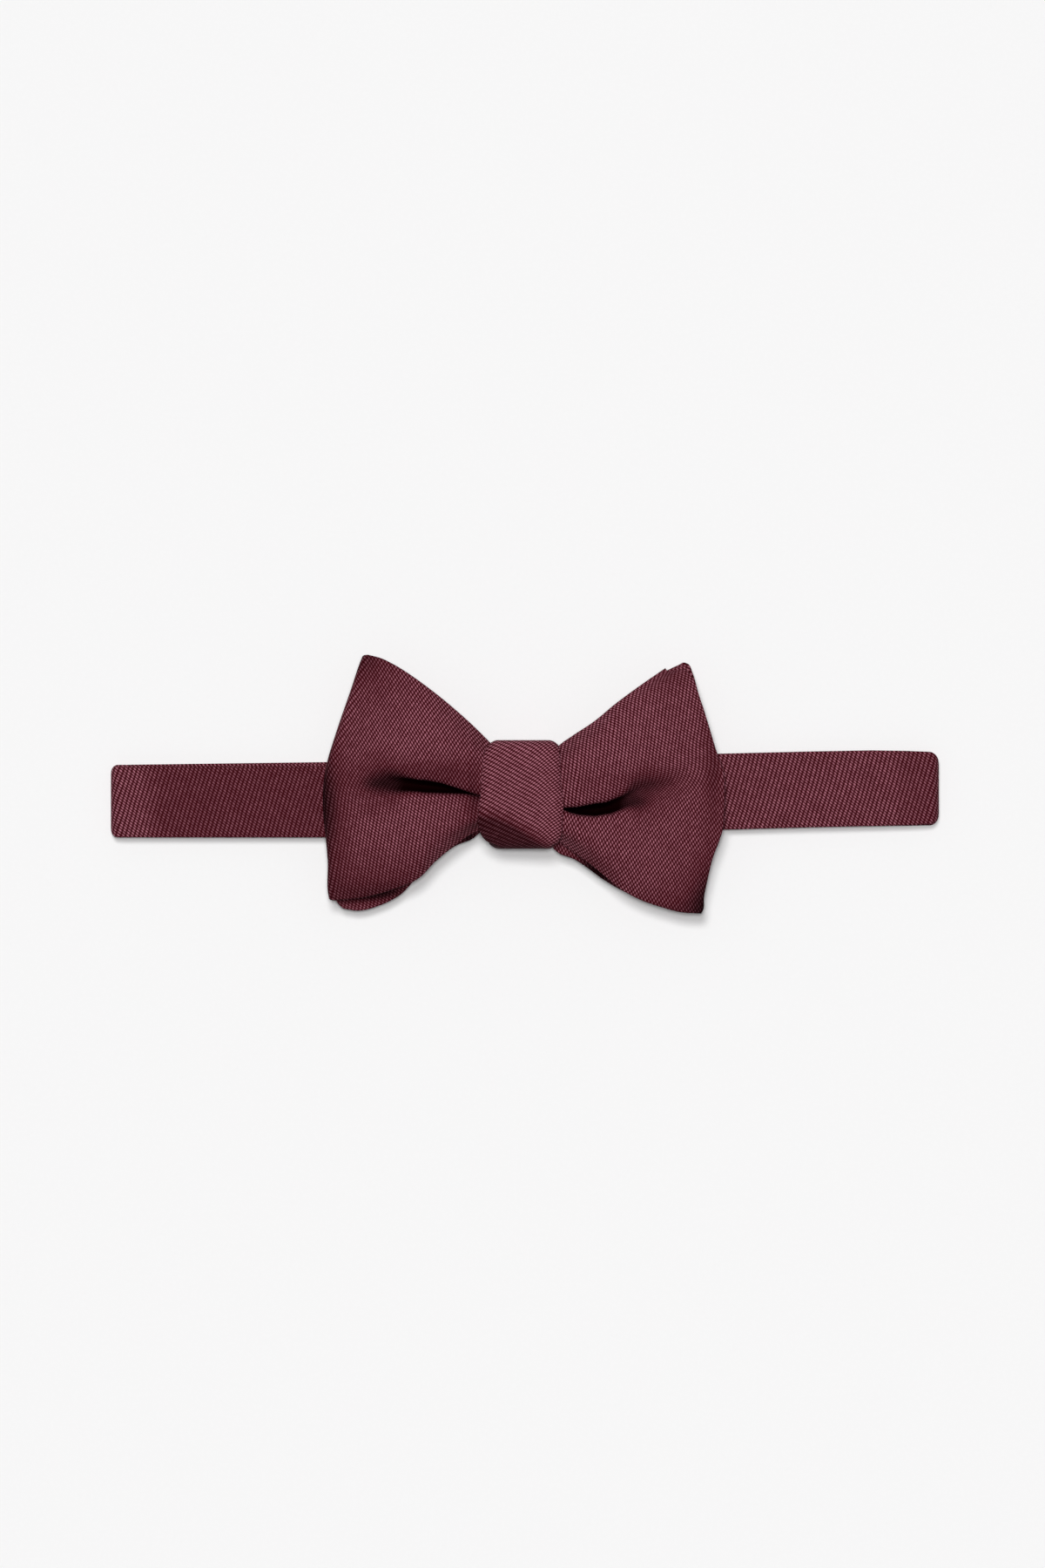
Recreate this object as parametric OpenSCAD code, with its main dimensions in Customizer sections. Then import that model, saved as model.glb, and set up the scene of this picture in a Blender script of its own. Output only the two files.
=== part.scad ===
// Silk bow tie on an adjustable neck band, laid down with the band folded flat behind the bow.
// +X runs along the band, +Y up the bow, +Z away from the surface that it lies on.
// The origin is under the middle of the whole tie, on that surface.

/* [Neck band] */
// Length of the folded band, from one side fold to the other
flat_length = 234.7; // [225:0.1:250]
// Width of the band
band_width = 20.2; // [18:0.1:21]
// Thickness of the lined band in front
band_thick = 1.2; // [1.1:0.1:1.2]
// Thickness of the softer straps behind
strap_thick = 0.9; // [0.8:0.1:0.9]
// Height of the band's middle line at the left fold
left_level = -4.8; // [-6:0.1:-3]
// Height of the band's middle line at the right fold
right_level = -1.4; // [-3:0.1:0]

/* [Bow] */
// Width of the bow from tip to tip
bow_width = 114.3; // [108:0.1:120]
// Thickness of one lined ply of a folded wing
ply_thick = 1.5; // [1.4:0.1:1.6]
// Thickness of the silk itself
silk_thick = 0.35; // [0.25:0.05:0.35]

/* [Knot] */
// Height of the knot
knot_height = 30.8; // [29:0.1:31.5]
// Top of the knot above the surface
knot_top = 19.6; // [19:0.1:24]
// Thickness of the knot's wrap
wrap_thick = 0.9; // [0.7:0.1:0.9]
// Turns of thread that gather the waist
thread_turns = 3; // [1:1:5]

/* [Clasp] */
// Thickness of the metal of the slide, hook and eye
metal_thick = 0.6; // [0.5:0.1:0.6]
// Place of the hook's strap bar along the band
hook_place = 14; // [10:1:20]
// Distance from the slide's middle bar to the hook's strap bar
slide_gap = 36; // [30:1:40]
// Width of the metal parts across the band
metal_width = 24.6; // [24:0.1:25]

/* [Hidden] */
$fn = 48;
fit = 0.2;
half = flat_length / 2;

// Levels above the surface
front_top = 6.1;
front_low = front_top - band_thick;
fold_radius = front_top / 2;
fold_x = half - fold_radius;
plate_low = strap_thick + 0.6;
plate_top = plate_low + metal_thick;
return_thick = 0.45;
return_low = plate_top + 0.05;
wrap_low = front_low - 0.1 - wrap_thick;
rear_low = front_top + 0.4;
front_wing_low = rear_low + 3.7;

// The rear straps run straight from fold to fold
rear_left_level = left_level + 0.4;
rear_angle = atan2(right_level - rear_left_level, 2 * fold_x);
rear_length = 2 * fold_x / cos(rear_angle);
hook_u = fold_x + hook_place;
slide_u = hook_u - slide_gap;

// Slide, hook and eye, along the strap
bar = 2;
strap_slot = 3.2;
slot_width = 21;
slide_length = 12.8;
slide_rail = 1.8;
hook_rail = 2.4;
eye_tongue = 16;
eye_opening = 10.5;
tack_inset = 1.5;
tack_width = 0.6;
tack_height = 0.15;
hook_tongue = 8;
hook_length = 17;
lip_gap = 0.8;
lip_length = 3.4;
eye_slot = 3.6;
eye_rim = 1.6;
eye_reach = bar / 2 + strap_slot + bar + eye_slot + eye_rim;
eye_u = hook_u + hook_length + 0.8 + eye_reach;
loop_radius = metal_thick / 2 + 0.05 + return_thick;
plate_mid = plate_low + metal_thick / 2;
eye_tail = 14;

// The wings hinge on a roll beside the knot
roll_radius = 2.6;
roll_z = 11;
left_hinge = -16.3;
right_hinge = 13.9;
wing_reach = 42.8;
silk_inset = 0.97;
fold_wall = 0.955;
lining_wall = 0.9635;
size = bow_width / 114.3;
left_middle = [-38, 0];
right_middle = [36, -1];

// The knot
knot_y = -2.7;
knot_corner = 4.9;
thread = 0.5;

SILK = [0.36, 0.13, 0.19];
REAR_SILK = [0.29, 0.09, 0.14];
LINING = [0.93, 0.91, 0.86];
THREAD = [0.22, 0.05, 0.09];
METAL = [0.78, 0.79, 0.81];

// Outlines of the wings, in millimetres on a bow 114.3 wide, round from the top of the root
FRONT_LEFT = [
    [-16.3, 17.9], [-30.8, 29.7], [-38.5, 34.2], [-44.8, 36.4], [-46.2, 35.8], [-49.3, 27.2],
    [-53.6, 14.6], [-56.5, 5.4], [-57.2, -7.2], [-55.8, -22], [-55.6, -31], [-54.6, -32.2],
    [-46.7, -32], [-36.8, -29.2], [-30.8, -26.7], [-19.5, -16.5], [-16.3, -14.6]
];
REAR_LEFT = [
    [-16.3, 16.5], [-30.8, 28], [-44, 34], [-48, 27], [-55, 5], [-55.8, -7], [-54.4, -22],
    [-53.8, -32.5], [-52.4, -34.6], [-48, -35.7], [-41.2, -34.2], [-35, -30.9], [-19.5, -16.8],
    [-16.3, -14.8]
];
FRONT_RIGHT = [
    [13.9, 14.1], [19.7, 17.8], [33.3, 28.8], [39.8, 33.1], [43.4, 31.6], [49.2, 24.6], [52, 17.5],
    [54.5, 9], [57.1, -3.5], [56.2, -12.6], [53.4, -20.5], [50.6, -31.9], [50.4, -35.6],
    [48, -36.4], [38.9, -34.7], [32.7, -32.7], [18.8, -22.4], [13.9, -18.7]
];
REAR_RIGHT = [
    [13.9, 13.2], [26.5, 22.6], [39.8, 32.2], [45.5, 34.1], [47.3, 32.9], [49.7, 24.8], [53, 12],
    [55, 0], [55, -12], [50, -28], [48.5, -34.5], [44.1, -35.8], [32.7, -33.2], [21.9, -26.9],
    [13.9, -21.1]
];
KNOT = [
    [-10.2, 12.7], [9, 12.7], [9.8, 7.2], [10.3, 0], [10.9, -6.4], [10.4, -14], [9.3, -16.6],
    [6, -18.1], [-6.8, -18.1], [-11.4, -15.7], [-13.3, -12.2], [-13.1, -6.9], [-12.4, 3]
];

function shrunk(outline, middle, share) = [for (p = outline) middle + share * (p - middle)];
// An outline drawn towards the hinge, and run past both long edges, for the space inside a fold
function folded(outline, hinge, share) =
    [for (p = outline) [hinge + share * (p.x - hinge), p.y * 1.1]];
function sized(outline) = [for (p = outline) size * p];
// A profile given as distance from the hinge and height, on the left (-1) or the right (1)
function placed(profile, hinge, side) = [for (p = profile) [hinge + side * p.x, p.y]];

// Profiles across a wing. e is how far in from the silk's outside.
function front_loop(e) = [
    [e, front_wing_low + e], [wing_reach, front_wing_low + e], [wing_reach, 14.4 - e],
    [28, 16.8 - e], [15, 16.6 - e], [e, 13.4 - e]
];
function front_gap(e) = [
    [6 - e, front_wing_low + ply_thick - e], [wing_reach, front_wing_low + ply_thick - e],
    [wing_reach, 14.4 - ply_thick + e], [28, 16.8 - ply_thick + e], [15, 16.6 - ply_thick + e],
    [6 - e, 14.6 - ply_thick + e]
];
function front_blade(e) = [
    [e, 10.4 + e], [15, 13.2 + e], [28, 13.6 + e], [wing_reach, 11.4 + e],
    [wing_reach, 13 - e], [28, 15.2 - e], [15, 14.8 - e], [e, 12 - e]
];
function rear_blade(e) = [
    [e, rear_low + e], [wing_reach, rear_low + e], [wing_reach, rear_low + ply_thick - e],
    [e, rear_low + ply_thick - e]
];
function rear_loop(e) = [
    [e, rear_low + e], [wing_reach, rear_low + e], [wing_reach, rear_low + 3.4 - e],
    [7, rear_low + 3.4 - e], [3 + e, rear_low + 1.6 - e], [e, rear_low + 1.6 - e]
];
function rear_gap(e) = [
    [9 - e, rear_low + 1.4 - e], [wing_reach, rear_low + 1.4 - e], [wing_reach, rear_low + 2 + e],
    [9 - e, rear_low + 2 + e]
];

module plate(outline, profile) {
    intersection() {
        linear_extrude(30) polygon(outline);
        translate([0, 50, 0]) rotate([90, 0, 0]) linear_extrude(100) polygon(profile);
    }
}

// The roll of gathered silk at a wing's root, on the hinge line
module root_roll(hinge, low, high) {
    translate([hinge, high, roll_z]) rotate([90, 0, 0]) cylinder(h = high - low, r = roll_radius);
}

module loop_lining(outline, middle, hinge, side, outer, gap) {
    difference() {
        plate(shrunk(sized(outline), middle, silk_inset), placed(outer, hinge, side));
        plate(folded(sized(outline), hinge, lining_wall), placed(gap, hinge, side));
    }
}

module loop_shell(outline, hinge, side, outer, gap) {
    difference() {
        plate(sized(outline), placed(outer, hinge, side));
        plate(folded(sized(outline), hinge, fold_wall), placed(gap, hinge, side));
    }
}

module front_left_interlining_shape() {
    difference() {
        loop_lining(
            FRONT_LEFT, left_middle, left_hinge, -1, front_loop(silk_thick), front_gap(silk_thick)
        );
        root_roll(left_hinge, -20, 20);
    }
}

module front_left_interlining() {
    color(LINING) front_left_interlining_shape();
}

module front_left_wing() {
    color(SILK) {
        difference() {
            union() {
                loop_shell(FRONT_LEFT, left_hinge, -1, front_loop(0), front_gap(0));
                root_roll(left_hinge, -14, 12);
            }
            front_left_interlining_shape();
        }
    }
}

module rear_left_interlining_shape() {
    plate(
        shrunk(sized(REAR_LEFT), left_middle, silk_inset),
        placed(rear_blade(silk_thick), left_hinge, -1)
    );
}

module rear_left_interlining() {
    color(LINING) rear_left_interlining_shape();
}

module rear_left_wing() {
    color(REAR_SILK) {
        difference() {
            plate(sized(REAR_LEFT), placed(rear_blade(0), left_hinge, -1));
            rear_left_interlining_shape();
        }
    }
}

module front_right_interlining_shape() {
    difference() {
        plate(
            shrunk(sized(FRONT_RIGHT), right_middle, silk_inset),
            placed(front_blade(silk_thick), right_hinge, 1)
        );
        root_roll(right_hinge, -20, 20);
    }
}

module front_right_interlining() {
    color(LINING) front_right_interlining_shape();
}

module front_right_wing() {
    color(SILK) {
        difference() {
            union() {
                plate(sized(FRONT_RIGHT), placed(front_blade(0), right_hinge, 1));
                root_roll(right_hinge, -17, 12);
            }
            front_right_interlining_shape();
        }
    }
}

module rear_right_interlining_shape() {
    loop_lining(
        REAR_RIGHT, right_middle, right_hinge, 1, rear_loop(silk_thick), rear_gap(silk_thick)
    );
}

module rear_right_interlining() {
    color(LINING) rear_right_interlining_shape();
}

module rear_right_wing() {
    color(REAR_SILK) {
        difference() {
            loop_shell(REAR_RIGHT, right_hinge, 1, rear_loop(0), rear_gap(0));
            rear_right_interlining_shape();
        }
    }
}

// The front band's outline from fold to fold. e is how far in from its edges.
function band_outline(e) = let (w = band_width / 2 - e, bend = 50) [
    [-fold_x + e, left_level + w], [-bend, left_level + w], [bend, right_level + w],
    [fold_x - e, right_level + w], [fold_x - e, right_level - w], [bend, right_level - w],
    [-bend, left_level - w], [-fold_x + e, left_level - w]
];

module front_band_interlining_shape() {
    translate([0, 0, front_low + silk_thick])
        linear_extrude(band_thick - 2 * silk_thick) polygon(band_outline(0.8));
}

module front_band_interlining() {
    color(LINING) front_band_interlining_shape();
}

module front_band() {
    color(SILK) {
        difference() {
            translate([0, 0, front_low]) linear_extrude(band_thick) polygon(band_outline(0));
            front_band_interlining_shape();
        }
    }
}

// Half a roll of the band on the left (-1) or the right (1), round the line that it folds on
module band_fold(side, level) {
    clear = 2 * fold_radius;
    color(SILK) {
        translate([side * fold_x, level + band_width / 2, fold_radius]) rotate([90, 0, 0]) {
            linear_extrude(band_width) {
                difference() {
                    circle(fold_radius);
                    circle(fold_radius - band_thick);
                    translate([side > 0 ? -clear : 0, -clear]) square([clear, 2 * clear]);
                }
            }
        }
    }
}

module left_fold() {
    band_fold(-1, left_level);
}

module right_fold() {
    band_fold(1, right_level);
}

// A rectangle with round corners, in the plane across the band, drawn out along it
module rounded_bar(low_z, high_z, height, corner, from_x, to_x) {
    translate([from_x, knot_y, (low_z + high_z) / 2]) rotate([90, 0, 90]) {
        linear_extrude(to_x - from_x) {
            square([height, high_z - low_z - 2 * corner], center = true);
            square([height - 2 * corner, high_z - low_z], center = true);
            for (a = [-1, 1], b = [-1, 1]) {
                translate([a * (height / 2 - corner), b * ((high_z - low_z) / 2 - corner)])
                    circle(corner);
            }
        }
    }
}

module knot_wrap() {
    color(SILK) {
        intersection() {
            linear_extrude(knot_top + 1) polygon(KNOT);
            difference() {
                rounded_bar(wrap_low, knot_top, knot_height, knot_corner, -20, 20);
                rounded_bar(
                    wrap_low + wrap_thick, knot_top - wrap_thick, knot_height - 2 * wrap_thick,
                    knot_corner - wrap_thick, -21, 21
                );
            }
        }
    }
}

core_low = front_top + 0.3;
core_top = knot_top - wrap_thick - fit;
core_height = knot_height - 2 * wrap_thick - 2 * fit;
core_corner = knot_corner - wrap_thick;

module thread_turn(k) {
    at = -1.2 + (k - (thread_turns - 1) / 2) * 1.4;
    difference() {
        rounded_bar(core_low, core_top, core_height, core_corner, at, at + thread);
        rounded_bar(
            core_low + thread, core_top - thread, core_height - 2 * thread, core_corner - thread,
            at - 1, at + 1
        );
    }
}

module gather_thread() {
    color(THREAD) for (k = [0 : thread_turns - 1]) thread_turn(k);
}

module knot_core() {
    color(SILK) {
        difference() {
            intersection() {
                rounded_bar(core_low, core_top, core_height, core_corner, -20, 20);
                linear_extrude(knot_top) polygon(shrunk(KNOT, [-1.2, knot_y], 0.95));
            }
            for (k = [0 : thread_turns - 1]) thread_turn(k);
        }
    }
}

module knot_stitches() {
    color(THREAD) {
        for (k = [-2 : 2]) {
            translate([-1.2 + 3.6 * k - 0.9, knot_y - 0.25, wrap_low - 0.15])
                cube([1.8, 0.5, 0.15]);
        }
    }
}

// Where the rear straps lie: +X along them from the left fold, with their middle line on y = 0
module on_straps() {
    translate([-fold_x, rear_left_level, 0]) rotate([0, 0, rear_angle]) children();
}

// A slab along the straps
module slab(from_u, to_u, width, low, high) {
    translate([from_u, -width / 2, low]) cube([to_u - from_u, width, high - low]);
}

module strap_lining(from_u, to_u) {
    slab(from_u, to_u, band_width - 1.6, silk_thick * 0.8, strap_thick - silk_thick * 0.8);
}

left_strap_end = hook_u + bar / 2 + loop_radius;
right_strap_start = eye_u - bar / 2 - loop_radius;

module left_strap() {
    color(REAR_SILK) on_straps() {
        difference() {
            slab(fit, left_strap_end, band_width, 0, strap_thick);
            strap_lining(2, hook_u - 4);
        }
    }
}

module left_strap_interlining() {
    color(LINING) on_straps() strap_lining(2, hook_u - 4);
}

module right_strap() {
    color(REAR_SILK) on_straps() {
        difference() {
            slab(right_strap_start, rear_length - fit, band_width, 0, strap_thick);
            strap_lining(eye_u + 4, rear_length - 2);
        }
    }
}

module right_strap_interlining() {
    color(LINING) on_straps() strap_lining(eye_u + 4, rear_length - 2);
}

module slide_adjuster() {
    slot = (slide_length - 2 * slide_rail - bar) / 2;
    color(METAL) on_straps() {
        difference() {
            slab(
                slide_u - slide_length / 2, slide_u + slide_length / 2, metal_width,
                plate_low, plate_top
            );
            for (side = [-1, 1]) {
                middle = slide_u + side * (bar + slot) / 2;
                slab(middle - slot / 2, middle + slot / 2, slot_width, 0, 5);
            }
        }
    }
}

// The strap's end, from over the slide's middle bar to the hook
module return_strap() {
    leg = 0.6;
    color(REAR_SILK) on_straps() {
        difference() {
            union() {
                slab(
                    slide_u - bar / 2 - 0.1 - leg, hook_u + bar / 2 - 0.1, band_width,
                    return_low, return_low + return_thick
                );
                slab(
                    slide_u - bar / 2 - 0.1 - leg, slide_u + bar / 2 + 0.1 + leg, band_width,
                    plate_low, return_low + 0.1
                );
            }
            slab(slide_u - bar / 2 - 0.1, slide_u + bar / 2 + 0.1, 30, 0, return_low);
        }
    }
}

module bar_tack() {
    start = slide_u + 2.4;
    low = return_low + return_thick;
    color(THREAD) on_straps() {
        for (k = [0, 1]) {
            slab(
                start + 1.6 * k, start + 1.6 * k + tack_width, band_width - 2 * tack_inset,
                low, low + tack_height
            );
        }
    }
}

module hook() {
    inner = hook_u + bar / 2 + strap_slot;
    nose = hook_u + hook_length;
    color(METAL) on_straps() {
        difference() {
            slab(hook_u - bar / 2, inner + hook_rail, metal_width, plate_low, plate_top);
            slab(hook_u + bar / 2, inner, slot_width, 0, 5);
        }
        slab(inner + 2, nose, hook_tongue, plate_low, plate_top);
        slab(
            nose - metal_thick, nose, hook_tongue, plate_low, plate_top + lip_gap + metal_thick
        );
        slab(
            nose - lip_length, nose, hook_tongue, plate_top + lip_gap,
            plate_top + lip_gap + metal_thick
        );
    }
}

// Half a roll of strap round a bar, on the right (1) or the left (-1) of it
module bar_loop(u, side) {
    translate([u + side * bar / 2, band_width / 2, plate_mid]) rotate([90, 0, 0]) {
        linear_extrude(band_width) {
            difference() {
                circle(loop_radius);
                circle(loop_radius - return_thick);
                translate([side > 0 ? -2 : 0, -1]) square([2, 2]);
            }
        }
    }
}

module strap_loop() {
    color(REAR_SILK) on_straps() bar_loop(hook_u, 1);
}

module eye() {
    color(METAL) on_straps() {
        start = eye_u - eye_reach;
        middle = eye_u - bar / 2 - strap_slot - bar;
        difference() {
            union() {
                slab(middle, eye_u + bar / 2, metal_width, plate_low, plate_top);
                slab(start, middle + 1, eye_tongue, plate_low, plate_top);
            }
            slab(eye_u - bar / 2 - strap_slot, eye_u - bar / 2, slot_width, 0, 5);
            slab(start + eye_rim, middle, eye_opening, 0, 5);
        }
    }
}

// The strap's end, turned over the eye's bar and brought down onto the strap
module eye_loop() {
    top = plate_mid + loop_radius;
    low = strap_thick + 0.05;
    start = eye_u - bar / 2;
    color(REAR_SILK) on_straps() {
        bar_loop(eye_u, -1);
        translate([0, band_width / 2, 0]) rotate([90, 0, 0]) {
            linear_extrude(band_width) {
                polygon([
                    [start, top - return_thick], [start, top], [start + 4, top],
                    [start + 7, low + return_thick], [start + eye_tail, low + return_thick],
                    [start + eye_tail, low], [start + 6.6, low], [start + 3.7, top - return_thick]
                ]);
            }
        }
    }
}

module eye_tack() {
    start = eye_u + 8;
    low = strap_thick + 0.05 + return_thick;
    color(THREAD) on_straps() {
        for (k = [0, 1]) {
            slab(
                start + 2 * k, start + 2 * k + tack_width, band_width - 2 * tack_inset,
                low, low + tack_height
            );
        }
    }
}

front_band();
front_band_interlining();
left_fold();
right_fold();
knot_wrap();
knot_core();
gather_thread();
knot_stitches();
front_left_wing();
front_left_interlining();
rear_left_wing();
rear_left_interlining();
front_right_wing();
front_right_interlining();
rear_right_wing();
rear_right_interlining();
left_strap();
left_strap_interlining();
slide_adjuster();
return_strap();
bar_tack();
hook();
strap_loop();
right_strap();
right_strap_interlining();
eye();
eye_loop();
eye_tack();
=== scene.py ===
"""Silk bow tie, laid down with its band folded flat behind it.
Lengths are in millimetres until a mesh is made."""
import math

import bpy
import numpy as np
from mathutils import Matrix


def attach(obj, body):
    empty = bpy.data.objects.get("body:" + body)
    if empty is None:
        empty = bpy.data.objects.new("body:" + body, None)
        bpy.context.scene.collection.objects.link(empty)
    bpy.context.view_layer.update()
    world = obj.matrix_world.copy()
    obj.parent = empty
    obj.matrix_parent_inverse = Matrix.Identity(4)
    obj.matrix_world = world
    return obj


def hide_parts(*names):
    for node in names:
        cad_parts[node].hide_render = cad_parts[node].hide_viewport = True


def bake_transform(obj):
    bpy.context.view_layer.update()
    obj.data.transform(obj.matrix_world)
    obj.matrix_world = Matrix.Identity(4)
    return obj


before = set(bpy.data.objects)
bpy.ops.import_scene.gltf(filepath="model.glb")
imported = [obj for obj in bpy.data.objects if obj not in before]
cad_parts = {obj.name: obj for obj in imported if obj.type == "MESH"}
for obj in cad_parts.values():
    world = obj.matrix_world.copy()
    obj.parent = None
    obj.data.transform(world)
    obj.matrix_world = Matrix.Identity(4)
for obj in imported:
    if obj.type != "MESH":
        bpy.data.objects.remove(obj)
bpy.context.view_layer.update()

MM = 0.001

# The band and its straps
BAND_THICK = 1.2
STRAP_THICK = 0.9
RETURN_THICK = 0.45
FRONT_MID = 5.5
STRAP_MID = STRAP_THICK / 2
FOLD_X = 114.3
FOLD_RADIUS = 3.05
REAR_LEFT_LEVEL = -4.4
REAR_RIGHT_LEVEL = -1.4
STRAP_ANGLE = math.atan2(REAR_RIGHT_LEVEL - REAR_LEFT_LEVEL, 2 * FOLD_X)
STRAP_LENGTH = 2 * FOLD_X / math.cos(STRAP_ANGLE)
STRAP_HALF = 10.1
# How far the band runs back past its fold, and how far a strap's cloth reaches into it
FOLD_LAP = 3
SEAM = 0.45
HOOK_U = 128.3
SLIDE_U = 92.3
EYE_U = 157.5
BAR_MID = 1.8
BAR_HALF = 1.0
LOOP_RADIUS = 0.575
LOOP_LOW = BAR_MID - LOOP_RADIUS
LOOP_HIGH = BAR_MID + LOOP_RADIUS

# The knot
KNOT_Y = -2.7
KNOT_LOW = 4.35
KNOT_HIGH = 19.15
WRAP_THICK = 0.9

# The wings: a blade's length, and how far out from the middle their weave is measured
BLADE_RUN = 46
WEAVE_REACH = 52

# Distances in from a cloth's edge at which its rounding is drawn
BORDER = np.array([0, 0.05, 0.16, 0.34, 0.6, 0.95])

# The weave: ribs that run at this angle across the cloth, each a row of slanted dots
RIB_ANGLE = math.radians(73)
RIB = 1.05
DOT = 0.72
KNOT_RIB_SLOPE = 0.554


# ---- Lines and grids of points

def resample(line, places):
    """Points at these shares of a line's length."""
    steps = np.linalg.norm(np.diff(line, axis=0), axis=1)
    along = np.concatenate([[0], np.cumsum(steps)])
    wanted = np.asarray(places) * along[-1]
    return np.stack([np.interp(wanted, along, line[:, k]) for k in range(line.shape[1])], axis=1)


def smooth_line(points, count=200):
    """A smooth curve through the points, in even steps."""
    p = np.array(points, float)
    t = np.concatenate([[0], np.cumsum(np.linalg.norm(np.diff(p, axis=0), axis=1))])
    slope = np.gradient(p, t, axis=0)
    pieces = []
    s = np.linspace(0, 1, 25)[:, None]
    for k in range(len(p) - 1):
        step = t[k + 1] - t[k]
        pieces.append(
            (2 * s**3 - 3 * s**2 + 1) * p[k]
            + (s**3 - 2 * s**2 + s) * step * slope[k]
            + (3 * s**2 - 2 * s**3) * p[k + 1]
            + (s**3 - s**2) * step * slope[k + 1]
        )
    return resample(np.concatenate(pieces), np.linspace(0, 1, count))


def bezier(a, b, c, d, count=24):
    s = np.linspace(0, 1, count)[:, None]
    a, b, c, d = (np.array(p, float) for p in (a, b, c, d))
    return (1 - s)**3 * a + 3 * s * (1 - s)**2 * b + 3 * s**2 * (1 - s) * c + s**3 * d


def smoothstep(low, high, x):
    t = np.clip((x - low) / (high - low), 0, 1)
    return t * t * (3 - 2 * t)


def lengths(grid, axis):
    """How far each point of a grid is along its row or column."""
    steps = np.linalg.norm(np.diff(grid, axis=axis), axis=2)
    start = np.zeros_like(np.take(steps, [0], axis=axis))
    return np.concatenate([start, np.cumsum(steps, axis=axis)], axis=axis)


def edged(length, count):
    """Shares of a length, finely spaced at both ends."""
    inner = np.linspace(BORDER[-1], length - BORDER[-1], count)
    return np.concatenate([BORDER[:-1], inner, length - BORDER[:-1][::-1]]) / length


def weave_uv(x, y):
    """Distance across the ribs and along them, of a flat cloth's points."""
    across = y * math.cos(RIB_ANGLE) - x * math.sin(RIB_ANGLE)
    along = x * math.cos(RIB_ANGLE) + y * math.sin(RIB_ANGLE)
    return np.stack([across, along], axis=2)


# ---- Meshes

def new_mesh(name, points, faces, material, uv=None, painted_light=None):
    mesh = bpy.data.meshes.new(name)
    mesh.from_pydata((np.asarray(points) * MM).tolist(), [], faces)
    if uv is not None:
        layer = mesh.uv_layers.new(name="Weave")
        corner = np.zeros(len(mesh.loops), np.int32)
        mesh.loops.foreach_get("vertex_index", corner)
        layer.data.foreach_set("uv", np.asarray(uv, np.float32)[corner].ravel())
    # This per-point attribute is painted light and shade: it dims or brightens the silk's thread dots, and
    # where it is low it darkens the ground too.
    if painted_light is not None:
        shine = mesh.attributes.new("PaintedLight", "FLOAT", "POINT")
        shine.data.foreach_set("value", np.asarray(painted_light, np.float32))
    mesh.polygons.foreach_set("use_smooth", [True] * len(mesh.polygons))
    mesh.materials.append(material)
    mesh.update()
    obj = bpy.data.objects.new(name, mesh)
    bpy.context.scene.collection.objects.link(obj)
    return obj


def quads(index):
    a, b = index[:-1, :-1], index[1:, :-1]
    c, d = index[1:, 1:], index[:-1, 1:]
    return np.stack([a, b, c, d], axis=-1).reshape(-1, 4)


def cloth(name, mid, thick, uv, material, painted_light=1.0):
    """A closed sheet of this thickness round a grid of points, with rounded edges.
    The per-point value passed with it is painted light and shade on the threads: 1 is the plain silk, less is
    painted shade down to no shine at 0, and more is painted highlight."""
    rows, columns = mid.shape[:2]
    normal = np.cross(np.gradient(mid, axis=0), np.gradient(mid, axis=1))
    normal /= np.maximum(np.linalg.norm(normal, axis=2, keepdims=True), 1e-9)
    down, across = lengths(mid, 0), lengths(mid, 1)
    from_edge = np.minimum.reduce([down, down[-1:] - down, across, across[:, -1:] - across])
    half = np.broadcast_to(np.asarray(thick, float) / 2, (rows,))[:, None]
    share = np.sqrt(1 - (1 - np.clip(from_edge / half, 0, 1))**2)
    offset = normal * (half * share)[:, :, None]

    top = np.arange(rows * columns).reshape(rows, columns)
    low = np.full((rows, columns), -1)
    low[1:-1, 1:-1] = rows * columns + np.arange((rows - 2) * (columns - 2)).reshape(rows - 2, -1)
    low = np.where(low < 0, top, low)
    points = np.concatenate([(mid + offset).reshape(-1, 3), (mid - offset)[1:-1, 1:-1].reshape(-1, 3)])
    coords = np.concatenate([uv.reshape(-1, 2), uv[1:-1, 1:-1].reshape(-1, 2)])
    painted_light_points = np.broadcast_to(painted_light, (rows, columns))
    painted_light_points = np.concatenate([painted_light_points.ravel(), painted_light_points[1:-1, 1:-1].ravel()])
    faces = np.concatenate([quads(top), quads(low)[:, ::-1]])
    return new_mesh(name, points, faces.tolist(), material, coords, painted_light_points)


def lining(name, mid, thick, material, skip=6):
    """The stiffening sheet inside a cloth, inside its edges."""
    inner = mid[2:-2:2, skip:-skip:2]
    x, y = inner[:, :, 0], inner[:, :, 1]
    return cloth(name, inner, thick, np.stack([x, y], axis=2), material)


def tube_faces(rings, sides):
    """The faces of a tube of rings, with both ends closed."""
    faces = []
    for k in range(rings - 1):
        for j in range(sides):
            n = (j + 1) % sides
            faces.append([k * sides + j, k * sides + n, (k + 1) * sides + n, (k + 1) * sides + j])
    last = (rings - 1) * sides
    faces.append(list(range(sides))[::-1])
    faces.append([last + j for j in range(sides)])
    return faces


def tube_points(line, radius, sides=8):
    """Points and faces of a thread with round ends along a line."""
    line = np.asarray(line, float)
    ahead = np.gradient(line, axis=0)
    ahead /= np.linalg.norm(ahead, axis=1, keepdims=True)
    side = np.cross(ahead, [0.3, 0.2, 1.0])
    side /= np.linalg.norm(side, axis=1, keepdims=True)
    other = np.cross(ahead, side)
    along = lengths(line[:, None, :], 0)[:, 0]
    end = np.minimum(along, along[-1] - along)
    r = radius * np.sqrt(1 - (1 - np.clip(end / radius, 0.02, 1))**2)
    turn = np.arange(sides) * 2 * math.pi / sides
    ring = np.cos(turn)[None, :, None] * side[:, None] + np.sin(turn)[None, :, None] * other[:, None]
    points = (line[:, None] + r[:, None, None] * ring).reshape(-1, 3)
    return points, tube_faces(len(line), sides)


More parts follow.
